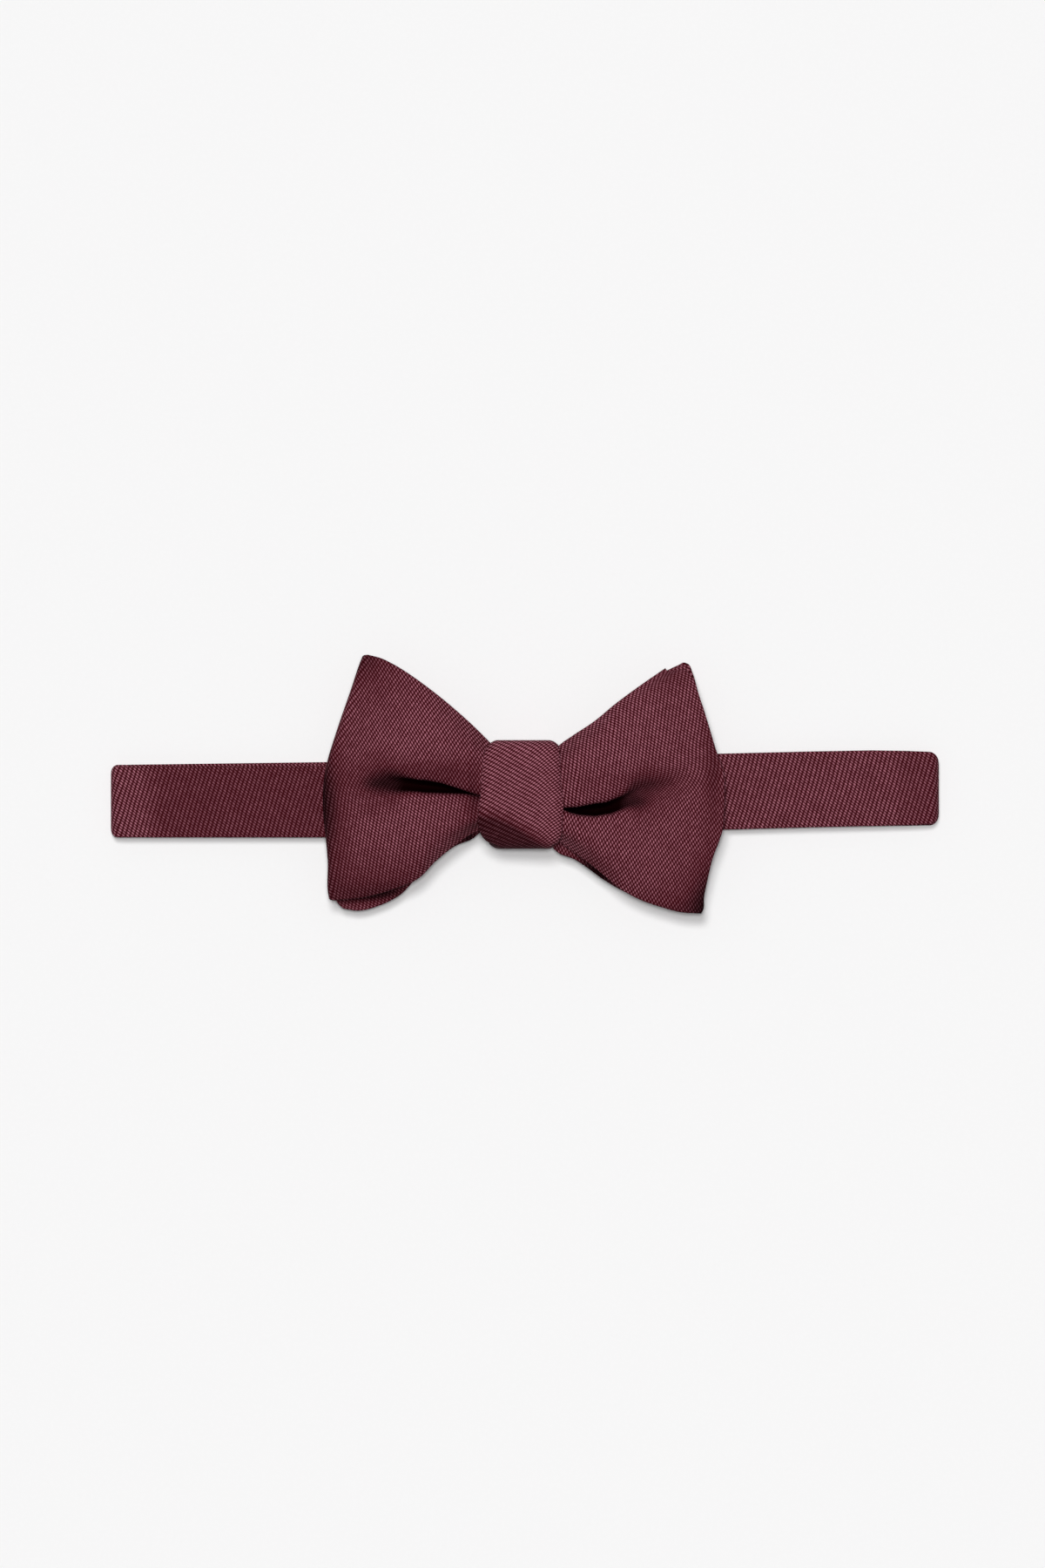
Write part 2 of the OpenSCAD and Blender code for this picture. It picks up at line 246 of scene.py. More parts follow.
def threads(name, lines, radius, material):
    """Several short threads as one piece."""
    points, faces = [], []
    for line in lines:
        p, f = tube_points(line, radius)
        start = sum(len(x) for x in points)
        points.append(p)
        faces += [[start + i for i in face] for face in f]
    return new_mesh(name, np.concatenate(points), faces, material)


def stitch(a, b, rise, count=9):
    """One stitch's line from a to b, raised in the middle along the rise."""
    s = np.linspace(0, 1, count)[:, None]
    return np.array(a, float) * (1 - s) + np.array(b, float) * s + np.array(rise) * np.sin(math.pi * s)


# ---- Materials

class Nodes:
    """A material's node tree, with short ways to add to it."""

    def __init__(self, name):
        self.material = bpy.data.materials.new(name)
        self.material.use_nodes = True
        self.tree = self.material.node_tree
        self.shader = self.tree.nodes["Principled BSDF"]

    def add(self, kind, **values):
        node = self.tree.nodes.new(kind)
        for key, value in values.items():
            setattr(node, key, value)
        return node

    def link(self, source, target):
        self.tree.links.new(source, target)

    def math(self, operation, *values):
        node = self.add("ShaderNodeMath", operation=operation)
        for k, value in enumerate(values):
            if isinstance(value, (int, float)):
                node.inputs[k].default_value = value
            else:
                self.link(value, node.inputs[k])
        return node.outputs[0]

    def mix(self, share, a, b):
        """A colour between a and b, each a colour or a socket."""
        node = self.add("ShaderNodeMix", data_type="RGBA")
        self.link(share, node.inputs[0])
        for socket, value in ((node.inputs[6], a), (node.inputs[7], b)):
            if isinstance(value, tuple):
                socket.default_value = (*value, 1)
            else:
                self.link(value, socket)
        return node.outputs[2]

    def noise(self, vector, scale, detail=2):
        node = self.add("ShaderNodeTexNoise")
        node.inputs["Scale"].default_value = scale
        node.inputs["Detail"].default_value = detail
        self.link(vector, node.inputs["Vector"])
        return node.outputs[0]

    def ramp(self, value, low, high):
        """A smooth rise from 0 at low to 1 at high."""
        node = self.add("ShaderNodeMapRange", interpolation_type="SMOOTHSTEP")
        node.inputs[1].default_value = low
        node.inputs[2].default_value = high
        self.link(value, node.inputs[0])
        return node.outputs[0]

    def bump(self, height, distance, strength=1.0):
        node = self.add("ShaderNodeBump")
        node.inputs["Strength"].default_value = strength
        node.inputs["Distance"].default_value = distance * MM
        self.link(height, node.inputs["Height"])
        self.link(node.outputs[0], self.shader.inputs["Normal"])

    def set(self, **values):
        for key, value in values.items():
            self.shader.inputs[key.replace("_", " ")].default_value = value


def silk(name, ground, dot):
    """Ribbed silk: rows of slanted pale dots on a dark ground, with painted light and shade read from a mesh
    attribute.
    """
    n = Nodes(name)
    uv = n.add("ShaderNodeUVMap", uv_map="Weave").outputs[0]
    drift = n.noise(uv, 0.14)
    fine = n.noise(uv, 2.6)
    split = n.add("ShaderNodeSeparateXYZ")
    n.link(uv, split.inputs[0])
    wander = n.math("MULTIPLY", n.math("SUBTRACT", drift, 0.5), 0.35)
    waver = n.math("MULTIPLY", n.math("SUBTRACT", fine, 0.5), 0.4)
    p = n.math("DIVIDE", n.math("ADD", split.outputs[0], wander), RIB)
    row = n.math("FLOOR", p)
    a = n.math("SUBTRACT", n.math("FRACT", p), 0.5)
    dots = n.math("DIVIDE", n.math("ADD", split.outputs[1], waver), DOT)
    q = n.math("ADD", dots, n.math("MULTIPLY", row, 0.42))
    slanted = n.math("SUBTRACT", q, n.math("MULTIPLY", a, 0.7))
    b = n.math("SUBTRACT", n.math("FRACT", slanted), 0.5)
    far = n.math(
        "SQRT",
        n.math(
            "ADD",
            n.math("POWER", n.math("DIVIDE", a, 0.47), 2.0),
            n.math("POWER", n.math("DIVIDE", b, 0.40), 2.0),
        ),
    )
    spot = n.math("SUBTRACT", 1.0, n.ramp(far, 0.15, 1.15))
    place = n.add("ShaderNodeCombineXYZ")
    n.link(row, place.inputs[0])
    n.link(n.math("FLOOR", slanted), place.inputs[1])
    chance = n.add("ShaderNodeTexWhiteNoise")
    n.link(place.outputs[0], chance.inputs["Vector"])
    shine = n.math("ADD", n.math("MULTIPLY", chance.outputs["Value"], 0.35), 0.8)
    patch = n.math("ADD", n.math("MULTIPLY", drift, 0.35), 0.825)
    # The mesh's painted light and shade: it scales the pale dots, so low values paint shade and values above
    # 1 paint highlight.
    painted_light = n.add("ShaderNodeAttribute", attribute_name="PaintedLight").outputs["Fac"]
    share = n.math("MULTIPLY", n.math("MULTIPLY", spot, shine), n.math("MULTIPLY", patch, painted_light))
    # Painted shade: where that value is low, as in the creases, the dark ground itself falls to a near-black
    # copy.
    shaded = n.mix(n.ramp(painted_light, 0.0, 0.6), tuple(0.12 * c for c in ground), ground)
    n.link(n.mix(share, shaded, dot), n.shader.inputs["Base Color"])
    n.link(n.math("SUBTRACT", 0.62, n.math("MULTIPLY", share, 0.16)), n.shader.inputs["Roughness"])
    n.bump(n.math("ADD", spot, n.math("MULTIPLY", fine, 0.3)), 0.16, 0.8)
    n.set(Specular_IOR_Level=0.015)
    return n.material


def canvas(name):
    """Plain cream interlining."""
    n = Nodes(name)
    uv = n.add("ShaderNodeUVMap", uv_map="Weave").outputs[0]
    split = n.add("ShaderNodeSeparateXYZ")
    n.link(uv, split.inputs[0])
    warp = n.math("SINE", n.math("MULTIPLY", split.outputs[0], 9.0))
    weft = n.math("SINE", n.math("MULTIPLY", split.outputs[1], 9.0))
    cross = n.math("MULTIPLY", warp, weft)
    share = n.ramp(n.math("ADD", cross, n.noise(uv, 3.0)), -0.5, 1.5)
    n.link(n.mix(share, (0.52, 0.48, 0.40), (0.80, 0.77, 0.69)), n.shader.inputs["Base Color"])
    n.link(n.math("ADD", n.math("MULTIPLY", share, 0.1), 0.8), n.shader.inputs["Roughness"])
    n.bump(cross, 0.08)
    return n.material


def sewing_thread(name):
    """Twisted thread."""
    n = Nodes(name)
    place = n.add("ShaderNodeTexCoord").outputs["Object"]
    wave = n.add("ShaderNodeTexWave", bands_direction="DIAGONAL")
    wave.inputs["Scale"].default_value = 1500
    wave.inputs["Distortion"].default_value = 0.6
    n.link(place, wave.inputs["Vector"])
    n.link(n.mix(wave.outputs["Fac"], (0.04, 0.004, 0.01), (0.16, 0.05, 0.07)), n.shader.inputs["Base Color"])
    n.link(n.math("ADD", n.math("MULTIPLY", wave.outputs["Fac"], 0.15), 0.5), n.shader.inputs["Roughness"])
    n.bump(wave.outputs["Fac"], 0.05)
    return n.material


def brushed_metal(name):
    """Bright nickel, brushed along the band, with softened edges."""
    n = Nodes(name)
    place = n.add("ShaderNodeTexCoord").outputs["Object"]
    stretch = n.add("ShaderNodeMapping")
    stretch.inputs["Scale"].default_value = (60, 2600, 2600)
    n.link(place, stretch.inputs["Vector"])
    grain = n.noise(stretch.outputs[0], 1.0, 3)
    wear = n.noise(place, 180, 2)
    n.link(n.mix(grain, (0.52, 0.52, 0.54), (0.74, 0.74, 0.76)), n.shader.inputs["Base Color"])
    rough = n.math("ADD", n.math("MULTIPLY", grain, 0.14), n.math("MULTIPLY", wear, 0.16))
    n.link(n.math("ADD", rough, 0.14), n.shader.inputs["Roughness"])
    soft = n.add("ShaderNodeBevel", samples=6)
    soft.inputs["Radius"].default_value = 0.15 * MM
    bump = n.add("ShaderNodeBump")
    bump.inputs["Distance"].default_value = 0.01 * MM
    bump.inputs["Strength"].default_value = 0.4
    n.link(grain, bump.inputs["Height"])
    n.link(soft.outputs[0], bump.inputs["Normal"])
    n.link(bump.outputs[0], n.shader.inputs["Normal"])
    n.set(Metallic=1.0)
    return n.material


def floor_paper(name):
    n = Nodes(name)
    place = n.add("ShaderNodeTexCoord").outputs["Object"]
    grain = n.noise(place, 900, 3)
    n.link(n.mix(grain, (0.873, 0.871, 0.872), (0.893, 0.891, 0.892)), n.shader.inputs["Base Color"])
    n.set(Roughness=0.9, Specular_IOR_Level=0.1)
    return n.material


SILK_GROUND = (0.042, 0.0010, 0.0034)
SILK = silk("silk", SILK_GROUND, (0.42, 0.153, 0.200))
# A darker copy of the silk for the rear pieces: painted shade for the layers that lie under the front ones.
SHADED_REAR_SILK = silk("rear_silk", SILK_GROUND, (0.38, 0.138, 0.180))
CANVAS = canvas("interlining")
THREAD = sewing_thread("thread")
METAL = brushed_metal("metal")


# ---- Wings

def on_line(line, u):
    """The point at share u of a line that has even steps."""
    at = np.linspace(0, 1, len(line))
    return np.array([np.interp(u, at, line[:, k]) for k in range(2)])


def creased_halves(w, u, low, high):
    """A wing's height across it at u, as a lower and an upper lobe that dive into the crease between them."""
    at = {key: np.interp(u, *zip(*table)) for key, table in w["crease"].items()}
    floor = (at["floor_y"], at["floor_z"])
    edge_a, edge_b = (low[1], at["low_z"]), (high[1], at["high_z"])
    crest_a, crest_b = (at["crest_low_y"], at["crest_low_z"]), (at["crest_high_y"], at["crest_high_z"])
    lip, rim, rim_z = at["lip_y"], at["rim_y"], at["rim_z"]
    bend = w["brow"]
    brow = (lip - 0.5, crest_a[1] - bend)
    rise_a = (edge_a[0] + 2.5, edge_a[1] + 2.2)
    shoulder_a = (0.45 * edge_a[0] + 0.55 * crest_a[0], crest_a[1])
    past_crest = (0.5 * (crest_a[0] + lip), crest_a[1])
    lower = np.concatenate([
        bezier(edge_a, rise_a, shoulder_a, crest_a),
        bezier(crest_a, past_crest, (brow[0] - bend, brow[1] + 0.55 * bend), brow)[1:],
        bezier(brow, (brow[0] + bend, brow[1] - 0.9 * bend), (lip + 0.5, floor[1]), floor)[1:],
    ])
    rise_b = (edge_b[0] - 2.5, edge_b[1] + 2.2)
    shoulder_b = (0.45 * edge_b[0] + 0.55 * crest_b[0], crest_b[1])
    upper = np.concatenate([
        bezier(floor, (floor[0] + 1.0, floor[1]), (rim, rim_z - 1.6), (rim, rim_z)),
        bezier((rim, rim_z), (rim, rim_z + 1.7), (0.5 * (rim + crest_b[0]), crest_b[1]), crest_b)[1:],
        bezier(crest_b, shoulder_b, rise_b, edge_b)[1:],
    ])
    return lower, upper


def plain_halves(w, u, low, high):
    """A wing's height across it at u, as one low arch."""
    edge, middle = (np.interp(u, *zip(*w["arch"][key])) for key in ("edge", "middle"))
    split = np.interp(u, *zip(*w["split"]))
    span = high[1] - low[1]
    rise, run = 0.16 * span, 0.2 * span
    lower = bezier((low[1], edge), (low[1] + rise, middle), (split - run, middle), (split, middle))
    upper = bezier((split, middle), (split + run, middle), (high[1] - rise, middle), (high[1], edge))
    return lower, upper


def half_places(line, count, start):
    """Shares of a half section's length, finely spaced at its outer edge."""
    total = np.linalg.norm(np.diff(line, axis=0), axis=1).sum()
    places = np.concatenate([BORDER[:-1], np.linspace(BORDER[-1], total, count)]) / total
    return places if start else 1 - places[::-1]


def section(w, u, count, crease):
    """Points across a wing at u: places on the plan and heights."""
    low, high = on_line(w["lower"], u), on_line(w["upper"], u)
    plain = plain_halves(w, u, low, high)
    halves = [resample(h, half_places(h, count, k == 0)) for k, h in enumerate(plain)]
    strength = np.interp(u, *zip(*w["strength"])) if crease else 0
    if strength > 0:
        folded = creased_halves(w, u, low, high)
        deep = [resample(h, half_places(h, count, k == 0)) for k, h in enumerate(folded)]
        halves = [strength * d + (1 - strength) * h for d, h in zip(deep, halves)]
    line = np.concatenate([halves[0], halves[1][1:]])
    share = (line[:, 0] - low[1]) / (high[1] - low[1])
    outer = np.array([on_line(w["outer"], s) for s in np.clip(share, 0, 1)])
    straight = w["outer"][0] + share[:, None] * (w["outer"][-1] - w["outer"][0])
    plan = low + share[:, None] * (high - low) + (outer - straight) * u**3
    return np.column_stack([plan, line[:, 1]])


def wing_uv(w, mid, us):
    """The weave's coordinates: each lobe's cloth runs out from the knot at its own angle.
    Across a lobe they are measured from its crest, so the cloth tucked into the crease doesn't pull them."""
    across = lengths(mid, 1)
    centre = mid.shape[1] // 2
    arc = across - across[:, centre, None]
    crests = (centre // 2, centre + centre // 2)
    low, high = (mid[:, k, 1, None] + across - across[:, k, None] for k in crests)
    spread = 4.0 + 6.0 * np.asarray(us)[:, None]**2
    upper = smoothstep(-1, 1, arc / spread)
    height = low + (high - low) * upper
    turn_low, turn_high = (math.radians(a) for a in w["turn"])
    angle = -turn_low + (turn_low + turn_high) * upper
    turned = int(np.argmax(us >= 1))
    run = lengths(mid, 0)
    reach = np.abs(mid[:, :, 0])
    reach = np.where(np.arange(len(us))[:, None] > turned, reach[turned] + run - run[turned], reach)
    inward = WEAVE_REACH - reach
    outward = -inward * np.cos(angle) + height * np.sin(angle)
    up = height * np.cos(angle) + inward * np.sin(angle)
    return weave_uv(w["side"] * outward, up) * (1.06, 0.93)


def hollowed(w, grid):
    """Soft dips in a wing's surface, each with its place, its reach and its depth."""
    for place, size, depth in w.get("hollows", ()):
        far = ((grid[:, :, 0] - place[0]) / size[0])**2 + ((grid[:, :, 1] - place[1]) / size[1])**2
        grid[:, :, 2] -= depth * np.exp(-far)
    return grid


def blade_grid(w, rows=150, count=66):
    """A single sheet from the knot to its own outer edge."""
    inner = np.linspace(0, 1 - BORDER[-1] / BLADE_RUN, rows)
    us = np.concatenate([inner, 1 - BORDER[:-1][::-1] / BLADE_RUN])
    return hollowed(w, np.stack([section(w, u, count, True) for u in us])), us


def loop_grid(w, rows=150, count=66, back_rows=50):
    """A sheet that comes out from the knot, folds over at the outer edge and goes back under."""
    us, back_us = np.linspace(0, 1, rows), np.linspace(1, 0, back_rows)
    front = hollowed(w, np.stack([section(w, u, count, True) for u in us]))
    back = np.stack([section(w, u, count, False) for u in back_us])
    back[:, :, 1] = KNOT_Y + (back[:, :, 1] - KNOT_Y) * (1 - 0.012 * back_us[:, None])
    back[:, :, 2] = np.interp(back_us, *zip(*w["back_z"]))[:, None]
    v = np.linspace(0, 1, front.shape[1])
    open_share = smoothstep(0, 0.14, v) * smoothstep(1, 0.86, v)
    middle = (front[-1, :, 2] + back[0, :, 2]) / 2
    radius = (front[-1, :, 2] - back[0, :, 2]) / 2 * (0.5 + 0.5 * open_share)
    for grid, at, sign in ((front, us, 1), (back, back_us, -1)):
        near = smoothstep(0.75, 1, at)[:, None]
        grid[:, :, 2] += (middle + sign * radius - grid[:, :, 2]) * near
        grid[:, :, 0] -= w["side"] * (radius + w["half_thick"]) * smoothstep(0.5, 1, at)[:, None]
    turn = []
    for phi in np.linspace(0, math.pi, 15)[1:-1]:
        row = front[-1] + (back[0] - front[-1]) * (phi / math.pi)
        row[:, 0] += w["side"] * radius * math.sin(phi)
        row[:, 2] = middle + radius * math.cos(phi)
        turn.append(row)
    mid = np.concatenate([front, np.stack(turn), back])
    return mid, np.concatenate([us, np.ones(len(turn)), back_us])


def wing_painted_light(w, mid, us):
    """Painted light on a wing: painted shade deep in the crease and in listed patches, and a painted
    highlight for a patch of negative depth.
    """
    x, y, z = np.moveaxis(mid, 2, 0)
    across = lengths(mid, 1)
    arc = np.abs(across - across[:, across.shape[1] // 2, None])
    strength = np.interp(us, *zip(*w["strength"]))[:, None]
    # Painted shade: the cloth low in the crease is darkened, as far as the crease is strong.
    deep = np.minimum(1.3 * strength, 1) * smoothstep(16.8, 14.6, z) * smoothstep(12, 8, arc)
    painted_light = 1 - deep
    for place, size, depth in w["painted_light_patches"]:
        far = ((x - place[0]) / size[0])**2 + ((y - place[1]) / size[1])**2
        painted_light = painted_light * (1 - depth * np.exp(-far))
    return painted_light


def wing(name, w, mid, us, thick, material):
    uv, painted_light = wing_uv(w, mid, us), wing_painted_light(w, mid, us)
    if w["side"] < 0:
        mid, uv, painted_light = mid[:, ::-1], uv[:, ::-1], painted_light[:, ::-1]
    return cloth(name, mid, thick, uv, material, painted_light)


def shaped(w):
    """A wing's edge curves, ready for use."""
    return {**w, **{key: smooth_line(w[key], 400) for key in ("lower", "upper", "outer")}}


FRONT_LEFT = shaped({
    "side": -1,
    "upper": [(-8, 9.6), (-10.4, 12.2), (-19.5, 20.9), (-30.8, 29.7), (-38.5, 34.3), (-42, 35.9),
              (-45.9, 36.9)],
    "lower": [(-8, -12), (-13.8, -13.1), (-19.5, -16.5), (-25.2, -21.1), (-30.8, -26.7), (-36.8, -29.2),
              (-46.7, -31.9), (-55.4, -32.8)],
    "outer": [(-55.4, -32.8), (-55.8, -30.9), (-55.9, -22), (-56.5, -14.8), (-57.2, -7.2), (-57.1, 0.3),
              (-56.3, 5.4), (-53.6, 14.6), (-49.3, 27.2), (-46.6, 35.2), (-45.9, 36.9)],
    "crease": {
        "low_z": [(0, 11.4), (0.2, 12.0), (0.5, 12.5), (1, 12.6)],
        "crest_low_y": [(0, -8), (0.2, -9), (0.5, -12.5), (1, -15)],
        "crest_low_z": [(0, 15.8), (0.2, 17.9), (0.5, 17.9), (0.8, 15.8), (1, 14)],
        "lip_y": [(0, -3.7), (0.12, -3.5), (0.25, -3.3), (0.5, -3.1), (0.62, -2.2), (0.75, -1.4), (1, -1)],
        "floor_y": [(0, -2.8), (0.12, -2.4), (0.25, -1.2), (0.5, -0.2), (0.65, 0.2), (1, 0)],
        "floor_z": [(0, 12.2), (0.15, 10.8), (0.5, 10.6), (0.6, 11.8), (0.75, 13.6), (1, 14)],
        "rim_y": [(0, -3.0), (0.12, -2.3), (0.25, -0.5), (0.38, 1.1), (0.5, 1.9), (0.62, 2.0), (0.75, 1.5),
                  (1, 1)],
        "rim_z": [(0, 14.6), (0.2, 16.3), (0.5, 16.4), (0.65, 15.6), (0.8, 14.8), (1, 14)],
        "crest_high_y": [(0, 4), (0.2, 6), (0.5, 11), (1, 15)],
        "crest_high_z": [(0, 16.2), (0.2, 18.7), (0.5, 18.8), (0.8, 16.2), (1, 14)],
        "high_z": [(0, 11.8), (0.3, 12.4), (1, 13)],
    },
    "strength": [(0, 1), (0.54, 1), (0.66, 0.7), (0.78, 0.3), (0.88, 0.08), (0.95, 0)],
    "arch": {"edge": [(0, 11.6), (1, 12.6)], "middle": [(0, 15.8), (0.4, 17), (0.8, 15.4), (1, 14.0)]},
    "split": [(0, -2.6), (0.25, -0.6), (0.6, 0), (1, 0)],
    "turn": (7, 16),
    "brow": 1.3,
    "half_thick": 0.65,
    "back_z": [(0, 9.8), (1, 9.7)],
    # Patches of painted light, each a place, a reach and a depth: painted shade along the outer edge, the
    # tip, the lower edge, beside the knot and round the crease; a negative depth is a painted highlight on a
    # lobe.
    "painted_light_patches": [((-59, -6), (8, 26), 1.0), ((-47, 38), (11, 12), 0.7), ((-41, 0.3), (7, 3.2), 0.8),
             ((-14.5, -5), (3, 10), 0.6), ((-38, -36), (26, 13), 0.85), ((-30, 4), (16, 3.5), 0.5),
             ((-20, 2), (6, 5), 0.3), ((-31, 14), (12, 8), -0.16), ((-38, -12), (9, 6), -0.1),
             ((-17, -14), (7, 4), 0.3)],
    "hollows": [((-40, 1.5), (7, 3), 1.1)],
})

REAR_LEFT = shaped({
    "side": -1,
    "upper": [(-8, 9), (-10.4, 11), (-19.5, 19.3), (-30.8, 28), (-38.5, 32.4), (-44, 34.2)],
    "lower": [(-8, -11.4), (-12.4, -13.3), (-14.9, -15.3), (-19.5, -17.2), (-25.2, -21.6), (-31.5, -27.3),
              (-35, -30.9), (-41.2, -34.2), (-47.5, -35.7), (-51.5, -35.1)],
    "outer": [(-51.5, -35.1), (-53.2, -33.4), (-53.9, -30), (-54.2, -22), (-55.4, -7), (-54.4, 5),
              (-51.5, 15), (-48, 26), (-45.3, 33.2), (-44, 34.2)],
    "strength": [(0, 0), (1, 0)],
    "arch": {"edge": [(0, 7.2), (1, 7.2)], "middle": [(0, 7.7), (0.5, 7.9), (1, 7.6)]},
    "split": [(0, -2), (1, 0)],
    "turn": (7, 16),
    # Painted shadow on the strip that shows below the front wing, and painted shade by the knot.
    "painted_light_patches": [((-45, -30.5), (18, 3.4), 0.93), ((-16, -15), (5, 3), 0.9)],
})

FRONT_RIGHT = shaped({
    "side": 1,
    "upper": [(8, 9), (10.2, 11.3), (14, 14.0), (19.7, 17.8), (26.5, 23.5), (33.3, 28.6), (39.8, 33.1)],
    "lower": [(8, -14), (10.1, -15.8), (14.4, -19.1), (18.8, -22.4), (23.1, -25.9), (27.6, -29.6),
              (32.7, -32.5), (38.9, -34.7), (44.1, -36.1), (50.0, -36.5)],
    "outer": [(50.0, -36.5), (50.6, -35.3), (50.8, -31.9), (51.6, -27.9), (53.4, -20.5), (55.3, -15.4),
              (56.2, -12.4), (56.5, -8.4), (56.7, -3.5), (56.2, 4.5), (54.6, 8.8), (52.1, 17), (49.6, 24.8),
              (47.1, 31.2), (45.4, 32.8), (42.2, 32.2), (40.7, 32.1), (39.8, 33.1)],
    "crease": {
        "low_z": [(0, 11.2), (0.2, 11.8), (0.5, 12.2), (1, 12.2)],
        "crest_low_y": [(0, -10.5), (0.2, -13), (0.5, -17), (1, -18)],
        "crest_low_z": [(0, 15.6), (0.2, 17.8), (0.5, 17.4), (0.8, 15.2), (1, 13.0)],
        "lip_y": [(0, -6.9), (0.06, -7.1), (0.13, -8.4), (0.2, -9.2), (0.32, -9.6), (0.43, -9.0),
                  (0.55, -7.8), (1, -6)],
        "floor_y": [(0, -6.4), (0.06, -6.5), (0.19, -7.0), (0.32, -6.8), (0.42, -6.4), (0.55, -5.5), (1, -3)],
        "floor_z": [(0, 12), (0.12, 10.2), (0.36, 10.0), (0.44, 10.9), (0.52, 12.6), (0.7, 13.6), (1, 13.2)],
        "rim_y": [(0, -6.2), (0.06, -6.0), (0.19, -5.6), (0.32, -4.7), (0.42, -4.4), (0.55, -3.4), (1, -1)],
        "rim_z": [(0, 14.4), (0.2, 16.2), (0.36, 16.2), (0.5, 15.6), (0.7, 14.8), (1, 13.2)],
        "crest_high_y": [(0, 2), (0.2, 5), (0.5, 10), (1, 14)],
        "crest_high_z": [(0, 16.0), (0.2, 18.6), (0.5, 18.5), (0.8, 16.0), (1, 13.4)],
        "high_z": [(0, 11.6), (0.3, 12.2), (1, 12.6)],
    },
    "strength": [(0, 1), (0.4, 1), (0.52, 0.72), (0.64, 0.3), (0.74, 0.08), (0.82, 0)],
    "arch": {"edge": [(0, 11.4), (1, 12.2)], "middle": [(0, 15.6), (0.4, 16.7), (0.8, 15.0), (1, 13.4)]},
    "split": [(0, -6), (0.4, -6), (0.6, -3), (0.8, -1), (1, 0)],
    "turn": (23, 9),
    "brow": 0.7,
    # Patches of painted light, each a place, a reach and a depth: painted shade in the hollow, along the
    # right and lower edges, at the corners and round the crease; a negative depth is a painted highlight on a
    # lobe.
    "painted_light_patches": [((36.5, 0), (7.5, 3.8), 0.6), ((42, 2), (3.5, 3), 0.3), ((53, -36), (8, 16), 1.0),
             ((53.5, 4), (3.4, 24), 0.55), ((13, -24), (11, 4.5), 0.75), ((30, -37), (26, 6), 0.7),
             ((32, -5.5), (4, 3), 0.6), ((26, 12), (12, 10), -0.16), ((44, 33), (8, 6), 0.3),
             ((31, -17), (11, 7), -0.08), ((22, 1), (12, 4), 0.15)],
    "hollows": [((37, -1), (7.5, 4), 2.0), ((43, 1.5), (3, 3), 0.5)],
})

REAR_RIGHT = shaped({
    "side": 1,
    "upper": [(8, 8.6), (13.9, 12.6), (26.5, 21.8), (35, 28.2), (40.2, 31.9), (45.2, 34.3)],
    "lower": [(8, -18), (9.5, -19.3), (14.0, -21.1), (17.4, -23.3), (21.9, -26.6), (26.5, -29.4),
              (32.7, -32.2), (38.9, -34.0), (44.1, -35.0), (47.8, -34.8)],
    "outer": [(47.8, -34.8), (49.3, -30), (50.5, -24), (52.4, -16.5), (54.0, -9), (54.4, -3), (54.2, 3),
              (53.8, 8), (53.2, 12.5), (51.5, 18.5), (49.6, 24.8), (47.4, 32.6), (46.7, 34.2), (45.2, 34.6)],
    "strength": [(0, 0), (1, 0)],
    "arch": {"edge": [(0, 8.6), (1, 8.8)], "middle": [(0, 8.7), (0.5, 8.9), (1, 8.9)]},
    "split": [(0, -4), (1, 0)],
    "turn": (23, 9),
    # Painted shadow on the strip that shows below the front wing, and a little painted shade at the outer
    # edge.
    "painted_light_patches": [((20, -25), (18, 6.5), 0.97), ((54, 0), (6, 16), 0.1)],
    "half_thick": 0.6,
    "back_z": [(0, 7.2), (1, 7.2)],
})


def blend_wing(obj, side):
    if side < 0:
        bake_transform(obj)
    else:
        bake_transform(obj)


def make_wing(node, w, grid, thick, material, slot):
    mid, us = grid
    obj = wing(node.replace("_wing", "_silk"), w, mid, us, thick, material)
    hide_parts(node)
    inside = lining(node.replace("_wing", "_canvas"), mid, 0.55, CANVAS)
    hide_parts(node.replace("_wing", "_interlining"))
    for piece, named in ((obj, slot), (inside, "interlining")):
        blend_wing(piece, w["side"])
    return obj


def make_wings():
    make_wing("front_left_wing", FRONT_LEFT, loop_grid(FRONT_LEFT), 1.3, SILK, "silk")
    make_wing("rear_left_wing", REAR_LEFT, blade_grid(REAR_LEFT), 1.4, SHADED_REAR_SILK, "rear_silk")
    make_wing("front_right_wing", FRONT_RIGHT, blade_grid(FRONT_RIGHT), 1.4, SILK, "silk")
    make_wing("rear_right_wing", REAR_RIGHT, loop_grid(REAR_RIGHT), 1.2, SHADED_REAR_SILK, "rear_silk")


# ---- Knot

KNOT_LEFT = smooth_line([(-10.2, 12.6), (-11.3, 9.5), (-12.2, 4), (-12.5, -2.7), (-13.1, -7), (-13.2, -11.5),
                         (-12.4, -14.2), (-10.5, -16.6), (-8.5, -17.6)])
KNOT_RIGHT = smooth_line([(9.4, 12.4), (9.9, 7.2), (10.2, 0.2), (10.9, -6.4), (10.6, -10), (10.3, -14),
                          (9.3, -16.8), (7.5, -18)])
KNOT_DIAGONAL = smooth_line([(-14.5, -6.0), (-9, -6.8), (-5, -8.2), (-1, -10.4), (3, -13.1), (9.5, -17.2)])


